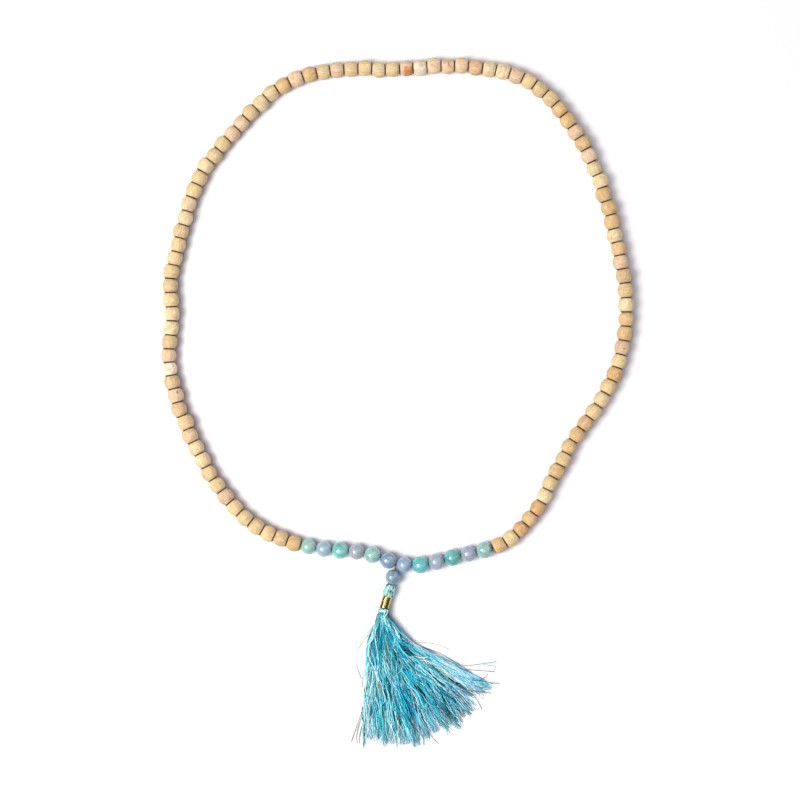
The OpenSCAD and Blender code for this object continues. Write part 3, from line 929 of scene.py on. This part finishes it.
def strandThread(strand):
    # one thread of a strand, from inside the band to its cut end
    tuft, wander, off, high = [strand[key] for key in ("tuft", "wander", "off", "high")]
    length = (skirt["length"] * table(skirt["reach"], tuft["u"]) + tuft["reach"] + 1.4 - 1.1 * off * off
              - min(strand["cut"] + draw.exponential(2.3), 12))
    run = np.linspace(-2.4, length, skirt["points"])
    share = np.clip(run / skirt["length"], 0, 1)
    gather = 1 - 0.5 * smooth((share - 0.5) / 0.45)      # the tufts draw together towards their ends
    crossing = strand["crossing"] * (1 - smooth(share / strand["crossEnd"]))
    u = tuft["u"] + off * tuft["half"] * gather + strand["lean"] * share + crossing
    flat = fanPlace(u, run)
    across = acrossLine(fanPlace(np.full(len(run), tuft["u"]), np.maximum(run, 0.1)))
    slow, slowLength, slowPhase = strand["slow"]
    wave = slow * np.sin(run / slowLength + slowPhase)
    wave += draw.normal(0, 0.26) * wander * np.sin(run / draw.uniform(2, 5) + draw.uniform(0, math.tau))
    wave += draw.normal(0, 0.12) * wander * np.sin(run / draw.uniform(1.2, 2.2) + draw.uniform(0, math.tau))
    wave = wave * smooth(run / 14) + (strand["splay"] + draw.normal(0, 0.9)) * smooth((share - 0.76) / 0.3)
    # its own place in the strand, which twists as it runs
    place = strand["spread"] * math.sqrt(draw.uniform(0, 1)) * (0.8 + 0.5 * smooth((share - 0.75) / 0.25))
    turn = draw.uniform(0, math.tau) + run * strand["twist"]
    side = strand["side"] * table(skirt["halfWidth"], run) * (1 - skirt["narrowing"] * high) * gather
    flat = flat + across * (side + wave + place * np.cos(turn))[:, None]
    flat, shade = besideGaps(flat, run, across, high, strand["bridge"])
    flat = insideFan(flat, run)
    low = table(skirt["lower"], run)
    top = table(skirt["upper"], run)
    rolling = 0.78 + 0.22 * np.sin(run / tuft["rolling"] + tuft["phase"])
    pile = np.clip(high * rolling + 0.06 * np.sin(run / strand["lift"][0] + strand["lift"][1]), 0, 1)
    z = np.minimum(low + (top - low) * pile + skirt["twistRise"] * np.sin(turn), top)
    z = z * (1 - 0.5 * smooth((u - 0.8) / 0.2) * smooth((run - 12) / 15))      # the right edge lies thinner
    # inside the band the threads lie packed round the axis
    turn = math.pi * (1 - np.mean(u[:8])) + draw.normal(0, 0.3)
    pack = skirt["pack"] * math.sqrt(draw.uniform(0.02, 1))
    neckAcross, neckUp = pack * math.cos(turn), pack * (2 * high - 1)
    swell = 1 + 0.4 * smooth((run + 0.5) / 1.2)
    neck = np.array([onTassel(tassel["skirtStart"] + distance, neckAcross * size, neckUp * size)
                     for distance, size in zip(run, swell)])
    leave = smooth((run + 0.4) / 2.8)[:, None]
    points = neck * (1 - leave) + np.c_[flat, z] * leave
    return points, u, run, shade


def strandTones(code, strand, u, run, shade):
    # a thread's colours along its run
    colours = np.tile(np.array(rgb(code)[:3]) * strand["bright"] * draw.uniform(0.68, 1.26), (len(run), 1))
    for patchU, along, wide, long, patch, share in skirtPatches:
        inside = smooth(1.6 - np.hypot((u - patchU) / wide, (run - along) / long))
        colours = tinted(colours, patch, 0.85 * inside * (strand["takes"] < share) * (strand["high"] > 0.4))
    # painted light: the ends are paler, standing for light through the thin tips
    paintedTipLight = draw.uniform(0.1, 0.8) * smooth((run - run[-1] + 6) / 6) * (1 - 0.5 * smooth((u - 0.55) / 0.2))
    colours = tinted(colours, "D2F4FC", paintedTipLight) * (1 - 0.88 * shade[:, None])
    return np.c_[np.clip(colours, 0, 1), np.full(len(run), draw.uniform(0, 1))]


for piece, (codes, strands, threads, width, meanHigh, wander, chances, valley) in skirtThreads.items():
    weights = np.array([table(chances, tuft["u"]) * tuft["half"] for tuft in tufts])
    codes, lines, radii, tones = codes.split(), [], [], []
    for pick in draw.choice(len(tufts), strands, p=weights / weights.sum()):
        strand = drawStrand(tufts[pick], threads, width, meanHigh, wander)
        code = codes[draw.randint(len(codes))]
        for _ in range(int(threads + draw.uniform(0, 1))):
            if draw.uniform(0, 1) < 0.4:
                code = codes[draw.randint(len(codes))]
            points, u, run, shade = strandThread(strand)
            radius = width / 2 * draw.uniform(0.75, 1.1)
            points[:, 2] = np.maximum(points[:, 2], radius)
            taper = np.interp(run, (run[-1] - 8, run[-1]), (1, 0.5))
            lines.append(points)
            radii.append(radius * taper)
            tones.append(strandTones(code, strand, u, run, shade))
    mesh = roundThreads(piece, lines, radii, tones)
    gloss, metallic = (0.32, 0.3) if piece == "skirt_gold" else (0.38, 0.0)
    look = threadLook(piece + "_thread", 1.3, gloss, valley, skirtPaintedGlints.get(piece, 0.0), metallic, 0.2)
    addPiece(piece, mesh, look, ["tassel"])
    print(piece, len(lines), "threads,", sum(len(p.vertices) - 2 for p in mesh.polygons), "triangles")

# Stray threads: four places on the surface, the height of each end and the colour
stray = {"radius": 0.16, "steps": 24, "seed": 4}
strays = [
    (-13, -112, -17.5, -117, -21, -122, -22.5, -125, 3, 1.5, "C0C8B8"),
    (-15.5, -116, -20, -123, -21.5, -131, -19, -138.5, 3, 0.4, "B4BEB0"),
    (-14.5, -117, -17.5, -127, -18.3, -136, -18.5, -143, 3, 0.3, "B8C8C4"),
    (-18, -153, -19, -156, -21.5, -163, -24, -170, 1.2, 0.6, "847C62"),
    (-18.5, -157, -20, -161, -21.3, -167, -21, -171, 1, 0.2, "968E72"),
    (-17.5, -159, -19, -163, -20, -168, -19.8, -171, 1, 0.2, "A8A890"),
    (5, -119.5, 13, -120, 19, -121, 25, -123.5, 4, 2, "B4B8A4"),
    (12, -122, 20, -125, 26, -128.5, 31, -131.5, 4, 2, "4C7480"),
    (28, -130.5, 34, -131.5, 42, -130.5, 48.5, -129.5, 3, 3.5, "7E989E"),
    (30, -133, 36, -133.7, 42, -134.2, 47.8, -134.7, 3, 2.5, "5E767C"),
    (42, -131, 45, -131.5, 48.2, -132, 47.5, -134, 3, 3, "9AB0B4"),
    (40, -139, 42, -138, 43.5, -137, 44.5, -135.5, 2.5, 3, "5E7C74"),
    (36, -139, 42, -139.5, 46, -140.3, 50.5, -141, 2, 1.5, "5A7884"),
    (34, -144, 39, -144.8, 43, -145.2, 46, -145.7, 1.5, 1, "6A7478"),
    (33, -143, 37.5, -147, 40, -151, 41.5, -154, 1.5, 0.3, "86A49C"),
    (26, -150, 31, -153.5, 34, -155, 36, -156, 1.2, 0.3, "6E6E5A"),
    (13, -164, 16, -167, 18, -169.5, 20, -171, 1, 0.2, "A0A896"),
]
strayDraw = random.Random(stray["seed"])


def smoothLine(places, count):
    # a smooth line through a few places
    places = np.reshape(places, (-1, 2)).astype(float)
    padded = np.concatenate([[2 * places[0] - places[1]], places, [2 * places[-1] - places[-2]]])
    points = []
    for k in np.linspace(0, 1, count) * (len(places) - 1):
        i = min(int(k), len(places) - 2)
        f = k - i
        a, b, c, d = padded[i:i + 4]
        way = (c - a) * f + (2 * a - 5 * b + 4 * c - d) * f ** 2 + (3 * b - a - 3 * c + d) * f ** 3
        points.append(b + way / 2)
    return np.array(points)


lines, tones = [], []
for *places, startHigh, endHigh, code in strays:
    high = startHigh + (endHigh - startHigh) * smooth(np.linspace(0, 1, stray["steps"]))
    lines.append(np.c_[smoothLine(places, stray["steps"]), high])
    tones.append(rgb(code)[:3] + [strayDraw.random()])
strayMesh = roundThreads("strays", lines, [stray["radius"]] * len(lines), tones)
addPiece("stray_threads", strayMesh, threadLook("stray_thread", 1.2, 0.45), ["tassel"])
print("stray threads:", len(strays))
